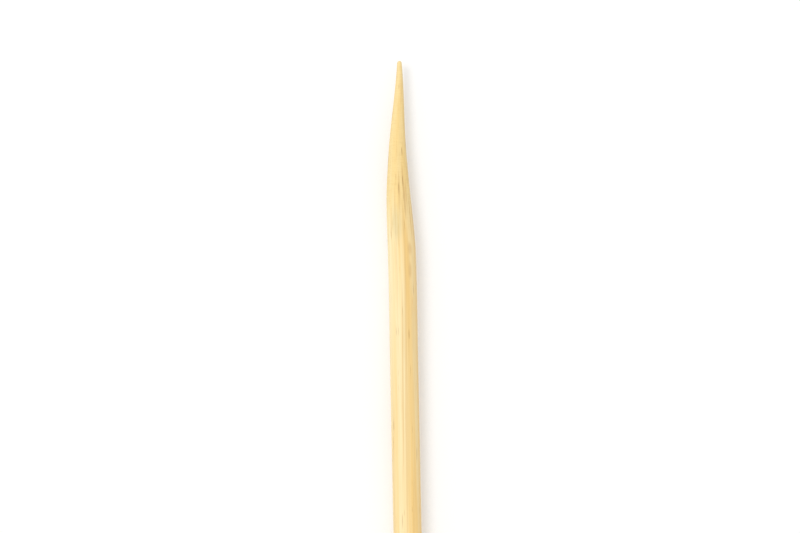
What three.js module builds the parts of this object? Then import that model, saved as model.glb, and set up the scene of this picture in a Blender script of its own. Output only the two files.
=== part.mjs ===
// A round bamboo skewer, split and drawn through a round die, sharpened to a long point at one end
// and sawn off square at the other. Sizes are in millimetres.
//
// The skewer lies on a flat surface along Y, with its point towards +Y and +Z up. The origin is on
// that surface, in the middle of the skewer's length and width.

import * as THREE from 'three';

// The whole skewer
const LENGTH = 300;
const DIAMETER = 3;

// The point is a long cone. Its foot is where the cone's line would meet the shaft, and the
// shoulder, half of it on each side of the foot, rounds that corner off.
const POINT_LENGTH = 17;
const SHOULDER_LENGTH = 9;
const TIP_DIAMETER = 0.5;
const TIP_ROUNDING = 0.3;

// The point was ground a little to the left of the shaft's middle, and its apex leans back over it
const POINT_OFF_CENTRE = 0.28;
const APEX_LEAN = 0.4;
const APEX_LENGTH = 10;

// The butt is a square saw cut with its rim worn off
const BUTT_CHAMFER = 0.12;

// Flats run along the shaft where the split stick was thinner than the die is wide. Each has its
// depth inside the round and the way it faces, in degrees from +X towards +Z.
const UNDERSIDE_FLAT_DEPTH = 0.06;
const UNDERSIDE_FLAT_FACING = -90;
const TOP_FLAT_DEPTH = 0.035;
const TOP_FLAT_FACING = 105;
const LEFT_FLAT_DEPTH = 0.03;
const LEFT_FLAT_FACING = 172.5;
const RIGHT_FLAT_DEPTH = 0.045;
const RIGHT_FLAT_FACING = 15;

// The stick was split along its own grain, so it bows to the right, most of all at BOW_PLACE from
// the butt, where it bends back over a short stretch
const BOW = 1.65;
const BOW_PLACE = 146;
const BEND_LENGTH = 30;

// How finely the round and the length are divided
const SIDES = 48;
const SHAFT_STEPS = 30;
const CONE_STEPS = 8;
const CURVE_STEPS = 5;

const radius = DIAMETER / 2;
const shoulderStart = LENGTH - POINT_LENGTH - SHOULDER_LENGTH / 2;
const shoulderEnd = shoulderStart + SHOULDER_LENGTH;
const flats = [
  { depth: UNDERSIDE_FLAT_DEPTH, facing: UNDERSIDE_FLAT_FACING },
  { depth: TOP_FLAT_DEPTH, facing: TOP_FLAT_FACING },
  { depth: LEFT_FLAT_DEPTH, facing: LEFT_FLAT_FACING },
  { depth: RIGHT_FLAT_DEPTH, facing: RIGHT_FLAT_FACING },
];

// Draws a straight line in equal steps, so that it can bend later.
function lineInSteps(outline, end, steps) {
  const start = outline.currentPoint.clone();
  for (let i = 1; i <= steps; i++) {
    const at = start.clone().lerp(end, i / steps);
    outline.lineTo(at.x, at.y);
  }
}

// Half of the straight skewer's outline: x is the radius, and y the distance from the butt.
function turnedOutline() {
  const foot = new THREE.Vector2(radius, LENGTH - POINT_LENGTH);
  const tip = new THREE.Vector2(TIP_DIAMETER / 2, LENGTH - TIP_ROUNDING);
  const coneShare = (shoulderEnd - foot.y) / (tip.y - foot.y);
  const coneStart = foot.clone().lerp(tip, coneShare);

  const outline = new THREE.Path();
  outline.moveTo(0, 0);
  outline.lineTo(radius - BUTT_CHAMFER, 0);
  outline.lineTo(radius, BUTT_CHAMFER);
  lineInSteps(outline, new THREE.Vector2(radius, shoulderStart), SHAFT_STEPS);
  outline.quadraticCurveTo(foot.x, foot.y, coneStart.x, coneStart.y);
  lineInSteps(outline, tip, CONE_STEPS);
  outline.quadraticCurveTo(tip.x, LENGTH, 0, LENGTH);
  return outline.getPoints(CURVE_STEPS);
}

// Presses every vertex that stands outside a flat straight back onto it.
function pressFlat(positions, depth, facing) {
  const angle = THREE.MathUtils.degToRad(facing);
  const outward = new THREE.Vector3(Math.cos(angle), 0, Math.sin(angle));
  const vertex = new THREE.Vector3();
  for (let i = 0; i < positions.count; i++) {
    vertex.fromBufferAttribute(positions, i);
    const outside = vertex.dot(outward) - (radius - depth);
    if (outside > 0) {
      vertex.addScaledVector(outward, -outside);
      positions.setXYZ(i, vertex.x, vertex.y, vertex.z);
    }
  }
}

// How far the bow carries the shaft to the right, over the whole length. Each guide is a distance
// from the butt and the share of the bow that is reached there.
function bowCurve() {
  const bendStart = BOW_PLACE - BEND_LENGTH / 2;
  const bendEnd = BOW_PLACE + BEND_LENGTH / 2;
  const guides = [
    [0, 0],
    [bendStart / 2, 0.42],
    [bendStart, 0.86],
    [BOW_PLACE, 1],
    [bendEnd, 0.84],
    [(bendEnd + LENGTH) / 2, 0.24],
    [LENGTH, 0],
  ];
  const places = guides.map(([place]) => place);
  const offsets = guides.map(([, share]) => share * BOW);
  return new THREE.CubicInterpolant(places, offsets, 1);
}

// Moves each vertex sideways with the bow and with the point's own grinding.
function bend(positions) {
  const bow = bowCurve();
  for (let i = 0; i < positions.count; i++) {
    const along = positions.getY(i);
    const [bowed] = bow.evaluate(along);
    const ground = POINT_OFF_CENTRE * THREE.MathUtils.smoothstep(along, shoulderStart, shoulderEnd);
    const leaned = APEX_LEAN * THREE.MathUtils.smoothstep(along, LENGTH - APEX_LENGTH, LENGTH);
    positions.setX(i, positions.getX(i) + bowed - ground + leaned);
  }
}

function skewerGeometry() {
  const geometry = new THREE.LatheGeometry(turnedOutline(), SIDES);
  const positions = geometry.attributes.position;
  for (const { depth, facing } of flats) pressFlat(positions, depth, facing);
  bend(positions);
  geometry.computeVertexNormals();
  geometry.computeBoundingBox();
  return geometry;
}

const bamboo = new THREE.MeshStandardMaterial({ color: 0xfce4af, roughness: 0.6, metalness: 0 });

const skewer = new THREE.Mesh(skewerGeometry(), bamboo);
skewer.name = 'skewer';

const { min, max } = skewer.geometry.boundingBox;
skewer.position.set(-(min.x + max.x) / 2, -LENGTH / 2, -min.z);

const model = new THREE.Group();
model.add(skewer);

export default model;
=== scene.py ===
"""The look of a round bamboo skewer: one drawn stick with a ground point and a sawn butt.

The stick lies along Y with its point towards +Y, on a pale floor at Z 0. Everything is in metres,
except where a docstring says millimetres.
"""

import logging
import math
from dataclasses import dataclass, field
from enum import Enum

import bmesh
import bpy
import numpy as np
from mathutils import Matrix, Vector, noise


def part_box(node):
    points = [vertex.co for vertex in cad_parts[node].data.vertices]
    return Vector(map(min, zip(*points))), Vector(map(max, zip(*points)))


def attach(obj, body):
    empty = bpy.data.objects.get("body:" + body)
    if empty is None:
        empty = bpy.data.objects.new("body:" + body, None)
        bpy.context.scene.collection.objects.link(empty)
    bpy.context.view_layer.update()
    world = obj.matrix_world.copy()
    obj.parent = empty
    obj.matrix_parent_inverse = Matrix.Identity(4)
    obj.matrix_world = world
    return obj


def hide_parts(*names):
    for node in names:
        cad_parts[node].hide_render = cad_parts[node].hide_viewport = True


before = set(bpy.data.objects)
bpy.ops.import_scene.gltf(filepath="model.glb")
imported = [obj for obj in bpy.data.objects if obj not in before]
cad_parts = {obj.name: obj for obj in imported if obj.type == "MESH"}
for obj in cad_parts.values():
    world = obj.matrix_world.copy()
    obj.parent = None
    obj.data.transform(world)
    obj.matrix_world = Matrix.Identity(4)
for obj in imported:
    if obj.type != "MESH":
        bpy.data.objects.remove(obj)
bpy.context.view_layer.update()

MM = 0.001
NODE = "skewer"
GRAIN_PLACE = "grain_place"
CUT_SHARE = "cut_share"

# Places closer than NEAR count as the same, and points closer than WELD are joined
NEAR = 0.01 * MM
WELD = 0.0005 * MM

Color = tuple[float, float, float, float]
log = logging.getLogger("skewer")


def srgb(red: int, green: int, blue: int) -> Color:
    """Turns a colour as a screen shows it into the linear colour that a shader takes.

    Args:
        red: The red part, from 0 to 255.
        green: The green part, from 0 to 255.
        blue: The blue part, from 0 to 255.

    Returns:
        The linear colour with an alpha of 1.
    """
    parts = [part / 255 for part in (red, green, blue)]
    linear = [p / 12.92 if p <= 0.04045 else ((p + 0.055) / 1.055) ** 2.4 for p in parts]
    return (linear[0], linear[1], linear[2], 1.0)


def ease(value: float, start: float, end: float) -> float:
    """Rises smoothly from 0 at start to 1 at end.

    Args:
        value: Where to read the curve.
        start: Where the curve leaves 0.
        end: Where the curve reaches 1.

    Returns:
        The share that is reached at value.
    """
    share = min(max((value - start) / (end - start), 0.0), 1.0)
    return share * share * (3 - 2 * share)


def put_in_order(mesh: bmesh.types.BMesh) -> None:
    """Sorts a mesh by where its points lie, because spin leaves the order to chance.

    Args:
        mesh: The mesh, whose shape stays as it is.
    """
    for parts in (mesh.verts, mesh.edges, mesh.faces):
        places = {part: sorted(tuple(corner.co) for corner in getattr(part, "verts", [part]))
                  for part in parts}
        ranks = {part: rank for rank, part in enumerate(sorted(parts, key=places.get))}
        parts.sort(key=lambda part: ranks[part])
        parts.index_update()


# Node trees


@dataclass(frozen=True)
class Ramp:
    """A smooth change from one result to another, held at both ends.

    Attributes:
        low: The value where the change starts.
        high: The value where it ends.
        to_low: The result at low.
        to_high: The result at high.
    """

    low: float
    high: float
    to_low: float = 0.0
    to_high: float = 1.0


@dataclass(frozen=True)
class GrainNoise:
    """A noise that is stretched along the grain.

    Attributes:
        across: How fine it is across the stick, in waves for each millimetre.
        along: How fine it is along the stick, in waves for each millimetre.
        detail: How many octaves it has.
        roughness: How strong the finer octaves are.
    """

    across: float
    along: float
    detail: float = 2.0
    roughness: float = 0.5


@dataclass
class NodeSheet:
    """A material's node tree, with short calls for the nodes that a finish needs.

    Attributes:
        tree: The node tree that the calls add to.
    """

    tree: bpy.types.NodeTree

    def add(self, kind: str, **inputs: object) -> bpy.types.Node:
        """Adds a node and sets or links its inputs.

        Args:
            kind: The node's type, without its ShaderNode prefix.
            **inputs: Values or output sockets, by socket name with underscores for spaces.

        Returns:
            The new node.
        """
        node = self.tree.nodes.new("ShaderNode" + kind)
        for name, value in inputs.items():
            self.put(node.inputs[name.replace("_", " ")], value)
        return node

    def put(self, socket: bpy.types.NodeSocket, value: object) -> None:
        """Links an output to a socket, or sets the socket's value.

        Args:
            socket: The input socket.
            value: An output socket or a plain value.
        """
        if isinstance(value, bpy.types.NodeSocket):
            self.tree.links.new(value, socket)
        else:
            socket.default_value = value

    def operate(self, kind: str, operation: str, values: tuple[object, ...]) -> bpy.types.Node:
        """Adds a node that has an operation and takes its operands in order.

        Args:
            kind: The node's type, without its ShaderNode prefix.
            operation: The node's operation.
            values: Its operands, as values or output sockets.

        Returns:
            The new node.
        """
        node = self.add(kind)
        node.operation = operation
        for socket, value in zip(node.inputs, values):
            self.put(socket, value)
        return node

    def math(self, operation: str, *values: object) -> bpy.types.NodeSocket:
        """Adds a Math node and gives its result's socket."""
        return self.operate("Math", operation, values).outputs[0]

    def vector(self, operation: str, *values: object) -> bpy.types.NodeSocket:
        """Adds a Vector Math node and gives its resulting vector's socket."""
        return self.operate("VectorMath", operation, values).outputs["Vector"]

    def length(self, vector: object) -> bpy.types.NodeSocket:
        """Measures a vector and gives its length's socket."""
        return self.operate("VectorMath", "LENGTH", (vector,)).outputs["Value"]

    def scale(self, vector: object, factor: object) -> bpy.types.NodeSocket:
        """Scales a vector by a factor that may change from point to point.

        Args:
            vector: The vector, as a value or an output socket.
            factor: The factor, as a value or an output socket.

        Returns:
            The scaled vector's socket.
        """
        node = self.operate("VectorMath", "SCALE", (vector,))
        self.put(node.inputs["Scale"], factor)
        return node.outputs["Vector"]

    def ramp(self, value: object, ramp: Ramp) -> bpy.types.NodeSocket:
        """Reads a ramp.

        Args:
            value: The value or output socket at which to read it.
            ramp: The ramp.

        Returns:
            The result's socket.
        """
        node = self.add("MapRange")
        node.interpolation_type = "SMOOTHSTEP"
        parts = (value, ramp.low, ramp.high, ramp.to_low, ramp.to_high)
        for socket, part in zip(node.inputs, parts):
            self.put(socket, part)
        return node.outputs[0]

    def noise(self, place: object, kind: GrainNoise) -> bpy.types.Node:
        """Adds a Noise Texture that is stretched along the grain.

        Args:
            place: Where to read it, in millimetres.
            kind: How fine the noise is.

        Returns:
            The node, whose first output is the noise from 0 to 1.
        """
        stretched = self.vector("MULTIPLY", place, (kind.across, kind.along, kind.across))
        return self.add("TexNoise", Vector=stretched, Scale=1.0, Detail=kind.detail,
                        Roughness=kind.roughness)

    def mix(self, share: object, first: object, second: object) -> bpy.types.NodeSocket:
        """Mixes two colours.

        Args:
            share: How much of the second colour is taken.
            first: The first colour.
            second: The second colour.

        Returns:
            The mixed colour's socket.
        """
        node = self.add("Mix")
        node.data_type = "RGBA"
        # The node's colour sockets come after those for plain numbers and vectors
        self.put(node.inputs[0], share)
        self.put(node.inputs[6], first)
        self.put(node.inputs[7], second)
        return node.outputs[2]


def new_material(name: str) -> tuple[bpy.types.Material, NodeSheet]:
    """Makes an empty node-based material.

    Args:
        name: The material's name.

    Returns:
        The material and its node sheet.
    """
    material = bpy.data.materials.new(name)
    material.use_nodes = True
    material.node_tree.nodes.clear()
    return material, NodeSheet(material.node_tree)


# The bamboo


@dataclass(frozen=True)
class SkinMark:
    """A small mark on the stick's skin, longest along the grain.

    Attributes:
        across: Its place across the stick, in millimetres from the middle towards +X.
        from_tip: Its distance from the tip, in millimetres.
        half_width: Half its width, in millimetres.
        half_length: Half its length, in millimetres.
        strength: How much of its colour shows at its middle.
        color: Its colour.
        core: The share of its size inside which it has its full strength.
    """

    across: float
    from_tip: float
    half_width: float
    half_length: float
    strength: float
    color: Color
    core: float = 0.25


@dataclass(frozen=True)
class Grain:
    """What a point of the mesh tells the finish about its wood, as sockets.

    Attributes:
        place: Where the point was in the straight stick, in millimetres.
        across: The X part of that place.
        along: The Y part of that place.
        upwards: The Z part of that place.
        cut: How far the wood there is ground or sawn, from 0 to 1.
        butt_half: 1 on the half of the stick towards the butt, and 0 on the other.
    """

    place: bpy.types.NodeSocket
    across: bpy.types.NodeSocket
    along: bpy.types.NodeSocket
    upwards: bpy.types.NodeSocket
    cut: bpy.types.NodeSocket
    butt_half: bpy.types.NodeSocket


@dataclass(frozen=True)
class BambooFinish:
    """Bare drawn bamboo: a pale ground with the plant's strands running through it along Y.

    The pattern is solid, so the strands are long lines on the shaft, long ellipses on the point
    and dots on the sawn butt. A skewer is split from the wall of a cane, whose strands are finer,
    closer and warmer towards its rind than towards its hollow. The rind is taken to be on the
    right, so its warmth also paints the warm shade of the shaded right side, and its paleness
    paints the light of the lit left side. Covers are shares of a colour that show over the colour
    under it.

    Attributes:
        ground: The soft ground between the strands.
        warm_ground: The ground where it is warmer.
        strand: The strands.
        dark_strand: The opened vessels and the torn grooves.
        cut: The ground where it is freshly ground or sawn.
        cut_cover: The cut ground's cover.
        strand_spacing: The distance between strands, in millimetres.
        strand_ends: How many strands follow each other in a millimetre of length.
        strand_scatter: How irregularly the strands lie, from 0 to 1.
        strand_edge: From nothing to the strand, by the distance from its middle in spacings.
        vessel_edge: From nothing to the vessel, in the same way.
        crowding: How much closer the strands lie for each millimetre towards the rind.
        wander_noise: How the strands wander across the stick.
        wander: How far they wander, in millimetres.
        tint_cover: A strand's cover, by its own random value.
        sawn_cover: How much is added to that cover on the sawn butt.
        vessel_cover: An opened vessel's cover.
        rind: From the hollow's side to the rind's, by the place across in millimetres.
        rind_and_shade_warmth: How the rind warms the ground on the right and pales it on the left;
        partly the rind's own colour, partly painted shade on the right and painted light on the
        left.
        rind_strength: How the rind strengthens the strands.
        fibre_noise: The fine fibre between the strands.
        fibre_cover: The fibre's cover, by its noise.
        streak_noise: Slow streaks of warmth.
        streak_warmth: How a streak warms the ground, by its noise.
        blotch_noise: Broad patches of warmth.
        blotch_warmth: How a patch warms the ground, by its noise.
        point_warmth: How warm the ground is below the point, by the distance from the tip in
            millimetres.
        shaft_paling: How much of that warmth is lost further down the shaft, in the same way.
        fleck_noise: The places where a strand was torn or bruised.
        fleck_cover: A fleck's cover, by its noise.
        mark_detail: How many octaves the tool marks' noise has.
        mark_roughness: How strong its finer octaves are.
        mark_across: How fine the tool marks are along X, in waves for each millimetre.
        mark_along: How fine the grinder's rings are along Y.
        mark_upwards: How fine the grinder's rings are along Z.
        saw_upwards: How much finer the saw's lines are along Z.
        mark_share: How much of a tool mark there is, by its noise.
        mark_cover: A tool mark's cover.
        pore_noise: The pores.
        drawn_pores: How far the pores show on drawn skin, beside 1 more on cut wood.
        fibre_height: How high the fibre stands, as a share of the relief.
        strand_height: How high the strands stand.
        pore_depth: How deep the pores are.
        mark_depth: How deep the tool marks are.
        relief: The depth of the fine relief, in metres.
        relief_strength: How strongly the relief turns the light.
        roughness: The skin's roughness, by the fibre's noise.
        cut_roughness: How much rougher cut wood is.
        specular: The skin's mirroring, where 0.5 leaves the shader's own as it is.
        skin_marks: The marks on the upper side: a faint greenish-grey patch at the shoulder and
            small brown marks on the right.
    """

    ground: Color = srgb(255, 240, 194)
    warm_ground: Color = srgb(252, 213, 138)
    strand: Color = srgb(229, 190, 122)
    dark_strand: Color = srgb(182, 136, 76)
    cut: Color = srgb(252, 223, 152)
    cut_cover: float = 0.55
    strand_spacing: float = 0.40
    strand_ends: float = 0.0035
    strand_scatter: float = 0.85
    strand_edge: Ramp = Ramp(0.408, 0.192)
    vessel_edge: Ramp = Ramp(0.132, 0.06)
    crowding: float = 0.17
    wander_noise: GrainNoise = GrainNoise(0.35, 0.016, detail=1.0)
    wander: float = 1.1
    tint_cover: Ramp = Ramp(0.0, 1.0, 0.15, 0.7)
    sawn_cover: float = 0.4
    vessel_cover: float = 0.75
    rind: Ramp = Ramp(-1.5, 1.5)
    # Painted light and shade: the right side is made warmer and the left paler, partly the rind's
    # own colour
    rind_and_shade_warmth: Ramp = Ramp(0.0, 1.0, -0.16, 0.22)
    rind_strength: Ramp = Ramp(0.0, 1.0, 0.75, 1.0)
    fibre_noise: GrainNoise = GrainNoise(9.0, 0.11, detail=3.0, roughness=0.6)
    fibre_cover: Ramp = Ramp(0.5, 0.72, 0.0, 0.42)
    streak_noise: GrainNoise = GrainNoise(2.3, 0.022)
    streak_warmth: Ramp = Ramp(0.36, 0.66, -0.18, 0.26)
    blotch_noise: GrainNoise = GrainNoise(0.5, 0.035)
    blotch_warmth: Ramp = Ramp(0.35, 0.68, -0.12, 0.18)
    point_warmth: Ramp = Ramp(20.0, 48.0, 0.48, 0.66)
    shaft_paling: Ramp = Ramp(58.0, 106.0, 0.0, 0.62)
    fleck_noise: GrainNoise = GrainNoise(5.5, 0.3, detail=1.0, roughness=0.4)
    fleck_cover: Ramp = Ramp(0.7, 0.82, 0.0, 0.7)
    mark_detail: float = 3.0
    mark_roughness: float = 0.6
    mark_across: float = 1.4
    mark_along: float = 13.0
    mark_upwards: float = 1.4
    saw_upwards: float = 7.5
    mark_share: Ramp = Ramp(0.45, 0.72)
    mark_cover: float = 0.24
    pore_noise: GrainNoise = GrainNoise(16.0, 9.0, roughness=0.6)
    drawn_pores: float = 0.12
    fibre_height: float = 0.55
    strand_height: float = 0.3
    pore_depth: float = 0.6
    mark_depth: float = 0.35
    relief: float = 0.03 * MM
    relief_strength: float = 0.8
    roughness: Ramp = Ramp(0.3, 0.8, 0.45, 0.64)
    cut_roughness: float = 0.12
    specular: float = 0.4
    skin_marks: tuple[SkinMark, ...] = (
        # A faint greenish-grey patch on the left at the shoulder
        SkinMark(across=-0.35, from_tip=17.2, half_width=0.75, half_length=2.6, strength=0.26,
              color=srgb(190, 184, 140)),
        SkinMark(across=0.62, from_tip=14.9, half_width=0.16, half_length=2.4, strength=0.42,
              color=srgb(196, 150, 88)),
        SkinMark(across=0.85, from_tip=19.8, half_width=0.30, half_length=0.9, strength=0.30,
              color=srgb(206, 160, 96)),
        SkinMark(across=0.80, from_tip=22.1, half_width=0.26, half_length=1.2, strength=0.26,
              color=srgb(206, 160, 96)),
    )

    def build(self, tip: float) -> bpy.types.Material:
        """Makes the material.

        Args:
            tip: The tip's place along the stick, in millimetres.

        Returns:
            The finished material.
        """
        material, sheet = new_material("drawn_bamboo")
        grain = self.read_grain(sheet)
        strand, vessel, tint = self.strands(sheet, grain)
        fibre = sheet.noise(grain.place, self.fibre_noise).outputs[0]
        opened = sheet.math("MULTIPLY", vessel,
                            sheet.math("MULTIPLY", grain.cut, self.vessel_cover))
        marks = self.tool_marks(sheet, grain)
        rind = sheet.ramp(grain.across, self.rind)

        color = sheet.mix(self.warmth(sheet, grain, rind, tip), self.ground, self.warm_ground)
        color = sheet.mix(sheet.ramp(fibre, self.fibre_cover), color, self.strand)
        color = sheet.mix(sheet.math("MULTIPLY", grain.cut, self.cut_cover), color, self.cut)
        cover = sheet.math("MULTIPLY", strand, self.strand_cover(sheet, grain, rind, tint))
        color = sheet.mix(cover, color, self.strand)
        color = sheet.mix(sheet.math("MULTIPLY", marks, self.mark_cover), color, self.strand)
        color = sheet.mix(opened, color, self.dark_strand)
        fleck = sheet.noise(grain.place, self.fleck_noise).outputs[0]
        color = sheet.mix(sheet.ramp(fleck, self.fleck_cover), color, self.dark_strand)
        color = self.marked(sheet, grain, color, tip)

        pores = sheet.noise(grain.place, self.pore_noise).outputs[0]
        pitted = sheet.math("MULTIPLY", pores, sheet.math("ADD", grain.cut, self.drawn_pores))
        height = sheet.math("ADD", sheet.math("MULTIPLY", fibre, self.fibre_height),
                            sheet.math("MULTIPLY", strand, self.strand_height))
        for hollow, depth in ((pitted, self.pore_depth), (opened, 1.0), (marks, self.mark_depth)):
            height = sheet.math("SUBTRACT", height, sheet.math("MULTIPLY", hollow, depth))
        bump = sheet.add("Bump", Strength=self.relief_strength, Distance=self.relief,
                         Height=height)

        rough = sheet.math("ADD", sheet.ramp(fibre, self.roughness),
                           sheet.math("MULTIPLY", grain.cut, self.cut_roughness))
        shader = sheet.add("BsdfPrincipled", Base_Color=color, Roughness=rough,
                           Specular_IOR_Level=self.specular, Normal=bump.outputs[0])
        sheet.add("OutputMaterial", Surface=shader.outputs[0])
        return material

    def read_grain(self, sheet: NodeSheet) -> Grain:
        """Reads what the mesh stores about its wood.

        Args:
            sheet: The material's node sheet.

        Returns:
            The sockets that the pattern is drawn from.
        """
        stored = sheet.add("Attribute")
        stored.attribute_name = GRAIN_PLACE
        share = sheet.add("Attribute")
        share.attribute_name = CUT_SHARE
        place = stored.outputs["Vector"]
        across, along, upwards = sheet.add("SeparateXYZ", Vector=place).outputs
        butt_half = sheet.math("LESS_THAN", along, 0.0)
        return Grain(place, across, along, upwards, share.outputs["Fac"], butt_half)

    def warmth(self, sheet: NodeSheet, grain: Grain, rind: bpy.types.NodeSocket,
               tip: float) -> bpy.types.NodeSocket:
        """Warms the stick below its shoulder and towards the rind, and pales it towards its butt.

        The rind's term is partly painted shade, warmer on the shaded right and paler on the lit
        left.

        Args:
            sheet: The material's node sheet.
            grain: What the mesh tells about its wood.
            rind: 0 on the hollow's side and 1 on the rind's.
            tip: The tip's place along the stick, in millimetres.

        Returns:
            How warm the ground is.
        """
        from_tip = sheet.math("SUBTRACT", tip, grain.along)
        warmth = sheet.math("SUBTRACT", sheet.ramp(from_tip, self.point_warmth),
                            sheet.ramp(from_tip, self.shaft_paling))
        streak = sheet.noise(grain.place, self.streak_noise).outputs[0]
        blotch = sheet.noise(grain.place, self.blotch_noise).outputs[0]
        # The rind's term paints shade as well as the rind's colour: warmer on the shaded right,
        # paler on the lit left
        for value, ramp in ((streak, self.streak_warmth), (blotch, self.blotch_warmth),
                            (rind, self.rind_and_shade_warmth)):
            warmth = sheet.math("ADD", warmth, sheet.ramp(value, ramp))
        return warmth

    def strands(self, sheet: NodeSheet, grain: Grain) -> tuple[bpy.types.NodeSocket, ...]:
        """Draws the strands as long cells that wander a little across the stick.

        Args:
            sheet: The material's node sheet.
            grain: What the mesh tells about its wood.

        Returns:
            How much of a strand shows, how much of the vessel in its middle shows, and a random
            value for each strand.
        """
        wandering = sheet.noise(grain.place, self.wander_noise).outputs["Color"]
        centred = sheet.vector("SUBTRACT", wandering, (0.5, 0.5, 0.5))
        moved = sheet.vector("MULTIPLY", centred, (self.wander, 0.0, self.wander))
        crowded = sheet.scale(sheet.vector("ADD", grain.place, moved),
                              sheet.math("MULTIPLY_ADD", grain.across, self.crowding, 1.0))
        density = 1 / self.strand_spacing
        stretched = sheet.vector("MULTIPLY", crowded, (density, self.strand_ends, density))
        cells = sheet.add("TexVoronoi", Scale=1.0, Randomness=self.strand_scatter,
                          Vector=stretched)
        strand = sheet.ramp(cells.outputs["Distance"], self.strand_edge)
        vessel = sheet.ramp(cells.outputs["Distance"], self.vessel_edge)
        tint = sheet.add("SeparateColor", Color=cells.outputs["Color"])
        return strand, vessel, tint.outputs[0]

    def strand_cover(self, sheet: NodeSheet, grain: Grain, rind: bpy.types.NodeSocket,
                     tint: bpy.types.NodeSocket) -> bpy.types.NodeSocket:
        """Sets how strongly the strands show, most of all on the sawn butt and near the rind.

        Args:
            sheet: The material's node sheet.
            grain: What the mesh tells about its wood.
            rind: 0 on the hollow's side and 1 on the rind's.
            tint: A random value for each strand.

        Returns:
            A strand's cover.
        """
        sawn = sheet.math("MULTIPLY", grain.cut, grain.butt_half)
        cover = sheet.math("ADD", sheet.ramp(tint, self.tint_cover),
                           sheet.math("MULTIPLY", sawn, self.sawn_cover))
        return sheet.math("MULTIPLY", cover, sheet.ramp(rind, self.rind_strength))

    def tool_marks(self, sheet: NodeSheet, grain: Grain) -> bpy.types.NodeSocket:
        """Draws the tool marks: rings round the ground point, and lines along X on the sawn butt.

        Args:
            sheet: The material's node sheet.
            grain: What the mesh tells about its wood.

        Returns:
            How much of a tool mark there is.
        """
        upwards = sheet.math("MULTIPLY_ADD", grain.butt_half, self.saw_upwards, self.mark_upwards)
        stretch = sheet.add("CombineXYZ", X=self.mark_across, Y=self.mark_along, Z=upwards)
        place = sheet.vector("MULTIPLY", grain.place, stretch.outputs[0])
        mark = sheet.add("TexNoise", Vector=place, Scale=1.0, Detail=self.mark_detail,
                         Roughness=self.mark_roughness)
        share = sheet.ramp(mark.outputs[0], self.mark_share)
        return sheet.math("MULTIPLY", grain.cut, share)

    def marked(self, sheet: NodeSheet, grain: Grain, color: bpy.types.NodeSocket,
                tip: float) -> bpy.types.NodeSocket:
        """Lays the marks over the upper side.

        Args:
            sheet: The material's node sheet.
            grain: What the mesh tells about its wood.
            color: The colour under the marks.
            tip: The tip's place along the stick, in millimetres.

        Returns:
            The colour with its marks.
        """
        upper = sheet.math("GREATER_THAN", grain.upwards, 0.0)
        for skin_mark in self.skin_marks:
            centre = (skin_mark.across, tip - skin_mark.from_tip, 0.0)
            shrink = (1 / skin_mark.half_width, 1 / skin_mark.half_length, 0.0)
            away = sheet.vector("MULTIPLY", sheet.vector("SUBTRACT", grain.place, centre), shrink)
            share = sheet.ramp(sheet.length(away), Ramp(1.0, skin_mark.core, 0.0, skin_mark.strength))
            color = sheet.mix(sheet.math("MULTIPLY", share, upper), color, skin_mark.color)
        return color


# The stick


@dataclass(frozen=True)
class Flat:
    """A flat along the shaft, where the split stick was thinner than the die is wide.

    Attributes:
        facing: The way it faces, in degrees from +X towards +Z.
        depth: How far it lies inside the round.
    """

    facing: float
    depth: float


@dataclass(frozen=True)
class SkinWave:
    """A noise that sinks the skin.

    Attributes:
        around: How fine it is round the stick.
        along: How fine it is along the stick, in waves for each millimetre.
        depth: How far it sinks the skin at most.
        shift: How far along X and Y the noise is read, so that no two waves are alike.
    """

    around: float
    along: float
    depth: float
    shift: tuple[float, float] = (0.0, 0.0)

    def read(self, x: float, y: float, z: float) -> float:
        """Reads the noise.

        Args:
            x: The X part of the direction away from the stick's middle.
            y: The place along the stick, in millimetres.
            z: The Z part of that direction.

        Returns:
            The noise, from about -1 to 1.
        """
        shift_x, shift_y = self.shift
        place = (x * self.around + shift_x, y * self.along + shift_y, z * self.around)
        return noise.noise(Vector(place))

    def sink(self, x: float, y: float, z: float) -> float:
        """Gives the depth at a place, where x, y and z are what read takes."""
        return self.depth * (0.5 + 0.5 * self.read(x, y, z))


class Lift(Enum):
    """The end at which a raised fibre stands off the stick."""

    TOWARDS_POINT = 1
    TOWARDS_BUTT = -1


@dataclass(frozen=True)
class RaisedFibre:
    """A hair of bamboo that one end still holds.

    Attributes:
        facing: Where it grows round the stick, in degrees from +X towards +Z.
        from_tip: The distance of its rooted end from the tip.
        length: Its length.
        rise: How high its free end stands off the stick.
        lift: The end that stands off.
        width: Its width at the root.
        taper: Its width at the free end, as a share of that at the root.
        flatness: How thick it is, as a share of its width.
        sunk: How far its middle lies under the skin at the root, as a share of its width.
        sides: How many sides it has.
        cuts: How many times it is cut across, so that it can curve.
    """

    facing: float
    from_tip: float
    length: float
    rise: float
    lift: Lift = Lift.TOWARDS_BUTT
    width: float = 0.09 * MM
    taper: float = 0.25
    flatness: float = 0.7
    sunk: float = 0.45
    sides: int = 6
    cuts: int = 7


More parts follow.
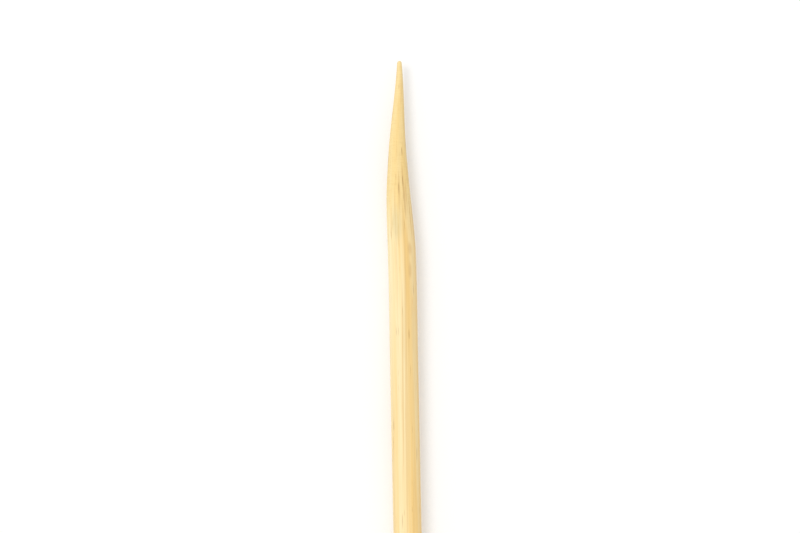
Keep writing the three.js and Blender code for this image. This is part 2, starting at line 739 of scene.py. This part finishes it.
@dataclass
class Stick:
    """The whole stick: butt, shaft, shoulder and point.

    The sizes are the ones that the construction model has, and the length, the floor and the bow
    come from that model itself.

    Attributes:
        diameter: The shaft's diameter.
        point_length: The length from the cone's foot to the tip.
        shoulder_length: The length over which the foot is rounded off.
        tip_diameter: The blunt tip's diameter.
        tip_rounding: The length over which the tip is rounded.
        butt_chamfer: The worn rim of the butt.
        shoulder_skin: How far into the shoulder the drawn skin reaches.
        rim_skin: The width over which the sawn face starts inside the rim.
        flats: The flats along the shaft.
        ridges: The ridges that the die leaves.
        swell: The slow changes of the shaft's thickness.
        groove: The grooves where a strand was torn out.
        groove_from: The groove's noise where a groove starts.
        groove_full: The groove's noise where it has its full depth.
        facets: The uneven faces that the grinder leaves on the point.
        saw_across: How fine the saw's lines are along X, in waves for each millimetre.
        saw_upwards: How fine the saw's lines are along Z, in waves for each millimetre.
        saw_depth: How deep the saw's lines are.
        saw_shift: How far along Y their noise is read.
        fibres: The raised fibres.
        sides: How many sides the round has.
        rim_rings: How many rings the butt's rim has.
        shaft_rings: How many rings the shaft has.
        shoulder_rings: How many rings the shoulder has.
        cone_rings: How many rings the cone has.
        tip_rings: How many rings the tip has.
        face_rings: How many rings the butt's face has.
    """

    diameter: float = 3.0 * MM
    point_length: float = 17.0 * MM
    shoulder_length: float = 9.0 * MM
    tip_diameter: float = 0.5 * MM
    tip_rounding: float = 0.3 * MM
    butt_chamfer: float = 0.12 * MM
    shoulder_skin: float = 2.0 * MM
    rim_skin: float = 0.1 * MM
    flats: tuple[Flat, ...] = (
        Flat(facing=-90.0, depth=0.060 * MM),
        Flat(facing=105.0, depth=0.035 * MM),
        Flat(facing=172.5, depth=0.030 * MM),
        Flat(facing=15.0, depth=0.045 * MM),
    )
    ridges: SkinWave = SkinWave(around=6.5, along=0.05, depth=0.020 * MM)
    swell: SkinWave = SkinWave(around=1.6, along=0.022, depth=0.022 * MM, shift=(7.0, 0.0))
    groove: SkinWave = SkinWave(around=4.6, along=0.045, depth=0.07 * MM, shift=(0.0, 31.0))
    groove_from: float = 0.42
    groove_full: float = 0.62
    facets: SkinWave = SkinWave(around=1.9, along=0.12, depth=0.030 * MM, shift=(0.0, 53.0))
    saw_across: float = 3.0
    saw_upwards: float = 9.0
    saw_depth: float = 0.05 * MM
    saw_shift: float = 11.0
    fibres: tuple[RaisedFibre, ...] = (
        RaisedFibre(facing=128.0, from_tip=15.5 * MM, length=2.6 * MM, rise=0.20 * MM),
        RaisedFibre(facing=48.0, from_tip=23.0 * MM, length=3.4 * MM, rise=0.16 * MM),
        RaisedFibre(facing=150.0, from_tip=38.0 * MM, length=4.2 * MM, rise=0.22 * MM),
        RaisedFibre(facing=40.0, from_tip=57.0 * MM, length=3.0 * MM, rise=0.20 * MM,
                    lift=Lift.TOWARDS_POINT),
        RaisedFibre(facing=132.0, from_tip=121.0 * MM, length=3.8 * MM, rise=0.14 * MM),
        RaisedFibre(facing=45.0, from_tip=207.0 * MM, length=3.2 * MM, rise=0.12 * MM),
        RaisedFibre(facing=138.0, from_tip=296.0 * MM, length=3.6 * MM, rise=0.18 * MM),
    )
    sides: int = 192
    rim_rings: int = 2
    shaft_rings: int = 330
    shoulder_rings: int = 36
    cone_rings: int = 52
    tip_rings: int = 8
    face_rings: int = 10
    butt: float = field(init=False)
    tip: float = field(init=False)
    axis_height: float = field(init=False)
    ring_places: np.ndarray = field(init=False)
    ring_middles: np.ndarray = field(init=False)
    ring_slopes: np.ndarray = field(init=False)

    def __post_init__(self) -> None:
        """Reads the stick's ends, its height over the floor and its bow from the frame."""
        low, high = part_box(NODE)
        self.butt = low.y
        self.tip = high.y
        self.axis_height = low.z + self.diameter / 2 - self.flats[0].depth
        rings: dict[int, list[float]] = {}
        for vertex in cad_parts[NODE].data.vertices:
            rings.setdefault(round(vertex.co.y / NEAR), []).append(vertex.co.x)
        places = sorted(rings)
        self.ring_places = np.array([place * NEAR for place in places])
        self.ring_middles = np.array([sum(rings[place]) / len(rings[place]) for place in places])
        self.ring_slopes = np.gradient(self.ring_middles, self.ring_places)

    @property
    def radius(self) -> float:
        """The shaft's radius."""
        return self.diameter / 2

    @property
    def shoulder_start(self) -> float:
        """Where the shaft ends and the shoulder starts."""
        return self.tip - self.point_length - self.shoulder_length / 2

    @property
    def shoulder_end(self) -> float:
        """Where the shoulder ends and the straight cone starts."""
        return self.shoulder_start + self.shoulder_length

    def middle(self, along: float) -> float:
        """Reads how far the bow carries the stick sideways, on a smooth curve through the rings.

        Args:
            along: The place along Y.

        Returns:
            The middle's place along X.
        """
        last = len(self.ring_places) - 2
        ring = min(max(int(np.searchsorted(self.ring_places, along)) - 1, 0), last)
        span = self.ring_places[ring + 1] - self.ring_places[ring]
        share = min(max((along - self.ring_places[ring]) / span, 0.0), 1.0)
        start, end = self.ring_middles[ring:ring + 2]
        leave, arrive = self.ring_slopes[ring:ring + 2] * span
        turn = (1 - share) * leave - share * arrive + (2 * share - 1) * (end - start)
        return float(start + (end - start) * share + share * (1 - share) * turn)

    def turned_radius(self, along: float) -> float:
        """Reads the turned outline, with the shoulder as a curve that touches shaft and cone.

        Args:
            along: The place along Y.

        Returns:
            The radius there, up to where the tip is rounded.
        """
        tip_radius = self.tip_diameter / 2
        foot = self.tip - self.point_length
        slope = (self.radius - tip_radius) / (self.point_length - self.tip_rounding)
        if along <= self.shoulder_start:
            return self.radius
        if along < self.shoulder_end:
            share = (along - self.shoulder_start) / self.shoulder_length
            return self.radius - slope * self.shoulder_length / 2 * share * share
        return self.radius - slope * (along - foot)

    def outline(self, mesh: bmesh.types.BMesh) -> list[bmesh.types.BMEdge]:
        """Draws half of the straight stick's outline as a chain of edges, and divides it.

        Args:
            mesh: The mesh to draw in.

        Returns:
            The chain's edges.
        """
        tip_radius = self.tip_diameter / 2
        dome = self.tip - self.tip_rounding
        corners = [
            (0.0, self.butt, self.face_rings),
            (self.radius - self.butt_chamfer, self.butt, self.rim_rings),
            (self.radius, self.butt + self.butt_chamfer, self.shaft_rings),
            (self.radius, self.shoulder_start, self.shoulder_rings),
            (self.turned_radius(self.shoulder_end), self.shoulder_end, self.cone_rings),
            (tip_radius, dome, self.tip_rings),
            (0.0, self.tip, 0),
        ]
        (x, y, _), *rest = corners
        end = mesh.verts.new((x, y, 0.0))
        for (_, _, rings), (x, y, _) in zip(corners, rest):
            start = end.co.copy()
            for ring in range(1, rings + 1):
                made = bmesh.ops.extrude_vert_indiv(mesh, verts=[end])
                end = made["verts"][0]
                end.co = start.lerp(Vector((x, y, 0.0)), ring / rings)
        for vertex in mesh.verts:
            if self.shoulder_start < vertex.co.y < self.shoulder_end:
                vertex.co.x = self.turned_radius(vertex.co.y)
            elif vertex.co.y > dome:
                angle = (vertex.co.y - dome) / self.tip_rounding * math.pi / 2
                vertex.co.x = tip_radius * math.cos(angle)
                vertex.co.y = dome + self.tip_rounding * math.sin(angle)
        return list(mesh.edges)

    def turn(self) -> bmesh.types.BMesh:
        """Turns the outline into the straight round stick.

        Returns:
            The straight stick, closed, with its faces outwards.
        """
        mesh = bmesh.new()
        edges = self.outline(mesh)
        bmesh.ops.spin(mesh, geom=list(mesh.verts) + edges, cent=(0, 0, 0), axis=(0, 1, 0),
                       angle=math.tau, steps=self.sides, use_merge=True)
        bmesh.ops.remove_doubles(mesh, verts=list(mesh.verts), dist=WELD)
        bmesh.ops.recalc_face_normals(mesh, faces=list(mesh.faces))
        put_in_order(mesh)
        return mesh

    def press_flats(self, place: Vector) -> None:
        """Presses a point that stands outside a flat straight back onto it.

        Args:
            place: The point, which is moved.
        """
        for flat in self.flats:
            angle = math.radians(flat.facing)
            outward = Vector((math.cos(angle), 0.0, math.sin(angle)))
            outside = place.dot(outward) - (self.radius - flat.depth)
            if outside > 0:
                place -= outward * outside

    def cut_share(self, along: float, away: float) -> float:
        """Tells the ground and sawn skin from the drawn one.

        Args:
            along: The place along Y.
            away: The distance from the stick's middle.

        Returns:
            0 on the drawn shaft, rising to 1 on the point and on the butt's face.
        """
        ground = ease(along, self.shoulder_start + self.shoulder_skin, self.shoulder_end)
        sawn = 1.0 - ease(along, self.butt, self.butt + self.butt_chamfer)
        return max(ground, sawn * ease(self.radius - away, 0.0, self.rim_skin))

    def weather(self, place: Vector) -> None:
        """Sinks the skin to the grooves and ridges that drawing and grinding left.

        Args:
            place: A point of the straight stick, which is moved towards the middle.
        """
        away = math.hypot(place.x, place.z)
        if away < NEAR:
            return
        x, y, z = place.x / away, place.y / MM, place.z / away
        shaft = 1 - ease(place.y, self.shoulder_start, self.shoulder_end)
        body = min(away / self.radius, 1.0)
        torn = ease(self.groove.read(x, y, z), self.groove_from, self.groove_full)
        sunk = self.ridges.sink(x, y, z) + self.groove.depth * torn
        sunk += self.swell.sink(x, y, z) * shaft + self.facets.sink(x, y, z) * (1 - shaft)
        place += Vector((-x, 0.0, -z)) * (sunk * body)

    def saw(self, place: Vector) -> None:
        """Roughens the sawn face.

        Args:
            place: A point of the straight stick, which is moved along it.
        """
        if place.y < self.butt + NEAR:
            read_at = (place.x / MM * self.saw_across, self.saw_shift,
                       place.z / MM * self.saw_upwards)
            place.y += self.saw_depth * (0.5 + 0.5 * noise.noise(Vector(read_at)))

    def shape(self, mesh: bmesh.types.BMesh) -> None:
        """Gives the turned stick its flats, skin and bow, and stores where its grain was.

        Args:
            mesh: The straight stick, whose points are moved.
        """
        grain = mesh.verts.layers.float_vector.new(GRAIN_PLACE)
        cut = mesh.verts.layers.float.new(CUT_SHARE)
        for vertex in mesh.verts:
            place = vertex.co.copy()
            vertex[cut] = self.cut_share(place.y, math.hypot(place.x, place.z))
            vertex[grain] = place / MM
            bowed = self.middle(place.y)
            self.weather(place)
            self.saw(place)
            self.press_flats(place)
            vertex.co = Vector((place.x + bowed, place.y, place.z + self.axis_height))

    def build(self, material: bpy.types.Material) -> bpy.types.Object:
        """Builds the stick in place of the construction model's node.

        Args:
            material: The bamboo.

        Returns:
            The stick's object.
        """
        mesh = self.turn()
        self.shape(mesh)
        return self.finish(mesh, "bamboo_stick", material)

    def finish(self, mesh: bmesh.types.BMesh, name: str,
               material: bpy.types.Material) -> bpy.types.Object:
        """Turns a mesh into a dressed object that rides on the part.

        Args:
            mesh: The mesh, which is freed.
            name: The object's name.
            material: What it is made of.

        Returns:
            The new object.
        """
        data = bpy.data.meshes.new(name)
        mesh.to_mesh(data)
        mesh.free()
        data.shade_smooth()
        data.materials.append(material)
        piece = bpy.data.objects.new(name, data)
        bpy.context.scene.collection.objects.link(piece)
        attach(piece, "root")
        log.info("%s: %d faces", name, len(data.polygons))
        return piece

    def build_fibres(self, material: bpy.types.Material) -> bpy.types.Object:
        """Builds the fibres that stand off the skin.

        Args:
            material: The bamboo.

        Returns:
            The fibres' object.
        """
        mesh = bmesh.new()
        grain = mesh.verts.layers.float_vector.new(GRAIN_PLACE)
        mesh.verts.layers.float.new(CUT_SHARE)
        for fibre in self.fibres:
            self.add_fibre(mesh, fibre)
        for vertex in mesh.verts:
            place = vertex.co
            straight = Vector((place.x - self.middle(place.y), place.y, place.z - self.axis_height))
            vertex[grain] = straight / MM
        return self.finish(mesh, "raised_fibres", material)

    def add_fibre(self, mesh: bmesh.types.BMesh, fibre: RaisedFibre) -> None:
        """Adds one fibre: a thin cone that leaves the skin in a shallow curve.

        Args:
            mesh: The mesh to add it to.
            fibre: The fibre.
        """
        hair = bmesh.new()
        bmesh.ops.create_cone(hair, cap_ends=True, segments=fibre.sides, radius1=fibre.width / 2,
                              radius2=fibre.width / 2 * fibre.taper, depth=fibre.length)
        sides = [edge for edge in hair.edges if edge.calc_length() > fibre.length / 2]
        bmesh.ops.subdivide_edges(hair, edges=sides, cuts=fibre.cuts)
        root = self.tip - fibre.from_tip
        angle = math.radians(fibre.facing)
        outward = Vector((math.cos(angle), 0.0, math.sin(angle)))
        sideways = Vector((-math.sin(angle), 0.0, math.cos(angle)))
        for vertex in hair.verts:
            run = vertex.co.z + fibre.length / 2
            along = root + run * fibre.lift.value
            lifted = fibre.rise * (run / fibre.length) ** 2
            skin = self.turned_radius(along) - fibre.width * fibre.sunk
            away = skin + lifted + vertex.co.x * fibre.flatness
            place = outward * away + sideways * vertex.co.y
            place.x += self.middle(along)
            vertex.co = Vector((place.x, along, place.z + self.axis_height))
        bmesh.ops.recalc_face_normals(hair, faces=list(hair.faces))
        data = bpy.data.meshes.new("hair")
        hair.to_mesh(data)
        hair.free()
        mesh.from_mesh(data)
        bpy.data.meshes.remove(data)


# The setting


@dataclass
class Studio:
    """A pale floor, soft light from the upper left and a camera that looks straight down.

    Attributes:
        photo_scale: How many pixels of the photograph a millimetre of the stick is taken to be.
        enlargement: How many times larger than in the photograph the stick is shown.
        image_width: The image's width in pixels.
        tip_to_centre: How far the image's middle lies down the stick from the tip, in pixels of
            the photograph.
        tip_aside: How far to the right of the image's middle the tip lies, in the same pixels.
        lean: How far the stick leans to the left in the image, in degrees.
        lens: The camera's focal length in millimetres.
        sensor: The camera's sensor width in millimetres.
        near_clip: Where the camera starts to see, as a share of its distance.
        floor_half: Half of the floor's side.
        floor_color: The floor's own colour.
        floor_glow: How much light the floor gives to the camera by itself.
        sky: The strength of the even light from all round.
        key_strength: The key light's strength.
        key_spread: How wide the key light is, in degrees, which softens its shadow.
        key_side: The side that the key light comes from.
    """

    photo_scale: float = 2.37
    enlargement: float = 4.0
    image_width: int = 800
    tip_to_centre: float = 51.4
    tip_aside: float = -0.15
    lean: float = 0.85
    lens: float = 120.0
    sensor: float = 36.0
    near_clip: float = 0.02
    floor_half: float = 4.0
    floor_color: Color = (0.8, 0.8, 0.8, 1.0)
    floor_glow: float = 0.22
    sky: float = 0.78
    key_strength: float = 0.88
    key_spread: float = 28.0
    key_side: Vector = field(default_factory=lambda: Vector((-0.32, 0.20, 0.62)))

    def camera(self, stick: Stick) -> None:
        """Makes the camera.

        Args:
            stick: The stick that it looks at.
        """
        roll = math.radians(self.lean)
        down = Vector((-math.sin(roll), -math.cos(roll), 0.0))
        right = Vector((math.cos(roll), -math.sin(roll), 0.0))
        tip = Vector((stick.middle(stick.tip), stick.tip, stick.axis_height))
        pixel = MM / self.photo_scale
        aim = tip + down * (self.tip_to_centre * pixel) - right * (self.tip_aside * pixel)
        pixels_per_metre = self.photo_scale * self.enlargement / MM
        distance = self.lens / self.sensor * self.image_width / pixels_per_metre
        data = bpy.data.cameras.new("camera")
        data.lens = self.lens
        data.sensor_width = self.sensor
        data.clip_start = distance * self.near_clip
        camera = bpy.data.objects.new("camera", data)
        camera.location = aim + Vector((0.0, 0.0, distance))
        camera.rotation_euler = (0.0, 0.0, -roll)
        bpy.context.scene.collection.objects.link(camera)
        bpy.context.scene.camera = camera

    def floor(self) -> None:
        """Lays the floor, which is white to the camera and still takes the stick's shadow."""
        mesh = bmesh.new()
        bmesh.ops.create_grid(mesh, x_segments=1, y_segments=1, size=self.floor_half)
        data = bpy.data.meshes.new("floor")
        mesh.to_mesh(data)
        mesh.free()
        material, sheet = new_material("pale_floor")
        shader = sheet.add("BsdfDiffuse", Color=self.floor_color)
        glow = sheet.add("Emission", Strength=self.seen(sheet, self.floor_glow, 0.0))
        both = sheet.add("AddShader")
        sheet.put(both.inputs[0], shader.outputs[0])
        sheet.put(both.inputs[1], glow.outputs[0])
        sheet.add("OutputMaterial", Surface=both.outputs[0])
        data.materials.append(material)
        floor = bpy.data.objects.new("floor", data)
        bpy.context.scene.collection.objects.link(floor)

    def seen(self, sheet: NodeSheet, to_eye: float, to_rest: float) -> bpy.types.NodeSocket:
        """Gives one strength to what the camera sees, directly, mirrored or through glass.

        Args:
            sheet: The node sheet.
            to_eye: The strength that the camera sees.
            to_rest: The strength that lights the scene.

        Returns:
            The strength's socket.
        """
        path = sheet.add("LightPath").outputs
        sight = sheet.math("MAXIMUM", path["Is Camera Ray"], path["Is Glossy Ray"])
        sight = sheet.math("MAXIMUM", sight, path["Is Transmission Ray"])
        return sheet.math("MULTIPLY_ADD", sight, to_eye - to_rest, to_rest)

    def light(self) -> None:
        """Makes the world and the key light."""
        world = bpy.data.worlds.new("studio")
        world.use_nodes = True
        world.node_tree.nodes.clear()
        sheet = NodeSheet(world.node_tree)
        strength = self.seen(sheet, 1.0, self.sky)
        back = sheet.add("Background", Color=(1.0, 1.0, 1.0, 1.0), Strength=strength)
        sheet.add("OutputWorld", Surface=back.outputs[0])
        bpy.context.scene.world = world

        data = bpy.data.lights.new("key", "SUN")
        data.energy = self.key_strength
        data.angle = math.radians(self.key_spread)
        lamp = bpy.data.objects.new("key", data)
        lamp.location = self.key_side
        lamp.rotation_euler = (-self.key_side).to_track_quat("-Z", "Y").to_euler()
        bpy.context.scene.collection.objects.link(lamp)

    def build(self, stick: Stick) -> None:
        """Sets up the camera, the floor and the light.

        Args:
            stick: The stick that is shown.
        """
        self.camera(stick)
        self.floor()
        self.light()
        bpy.context.scene.view_settings.view_transform = "Standard"


def main() -> None:
    """Builds the stick and its setting."""
    logging.basicConfig(level=logging.INFO)
    stick = Stick()
    material = BambooFinish().build(stick.tip / MM)
    body = stick.build(material)
    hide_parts(NODE)
    stick.build_fibres(material)
    Studio().build(stick)


if __name__ == "__main__":
    main()
